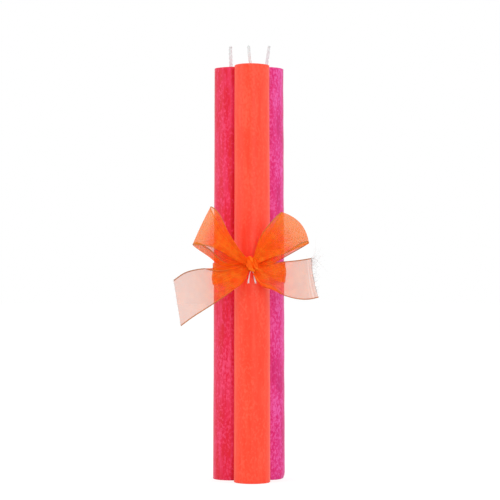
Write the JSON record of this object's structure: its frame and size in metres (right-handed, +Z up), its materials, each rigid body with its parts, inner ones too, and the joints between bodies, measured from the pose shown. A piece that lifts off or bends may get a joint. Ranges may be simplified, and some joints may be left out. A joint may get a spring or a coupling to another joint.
{
  "type": "tied candle bundle",
  "caption": "Tall tapered wax candles with cotton wicks, standing in a bundle that a sheer organza ribbon holds at mid height, tied in a bow.",
  "frame": {"origin": "on the surface that the candles stand on, in the middle of the whole outline", "axes": "+Z up along the candles, -Y to the front, where the orange candle and the bow are, +X to the viewer's right"},
  "size_m": [0.086, 0.0566, 0.2638],
  "materials": {
    "wax_crimson": "frosted, mottled candle wax, coloured through",
    "wax_orange": "frosted, mottled candle wax, coloured through",
    "wax_magenta": "frosted, mottled candle wax, coloured through",
    "cotton": "white braided cotton",
    "organza": "sheer orange organza, plain weave with woven hems"
  },
  "bodies": {
    "ribbon_tie": {"binding_cord": "cotton", "ribbon_band": "organza", "ribbon_knot": "organza", "bow_loop_left": "organza", "bow_loop_right": "organza", "ribbon_tail_left": "organza", "ribbon_tail_right": "organza"},
    "crimson_candle": {"crimson_wax": "wax_crimson", "crimson_wick": "cotton"},
    "orange_candle": {"orange_wax": "wax_orange", "orange_wick": "cotton"},
    "magenta_candle": {"magenta_wax": "wax_magenta", "magenta_wick": "cotton"}
  },
  "joints": [
    {"name": "crimson_draw", "type": "slide", "parent": "ribbon_tie", "child": "crimson_candle", "axis": [0, 0, 1], "range_m": [0, 0.12]},
    {"name": "orange_draw", "type": "slide", "parent": "ribbon_tie", "child": "orange_candle", "axis": [0, 0, 1], "range_m": [0, 0.12]},
    {"name": "magenta_draw", "type": "slide", "parent": "ribbon_tie", "child": "magenta_candle", "axis": [0, 0, 1], "range_m": [0, 0.12]}
  ]
}
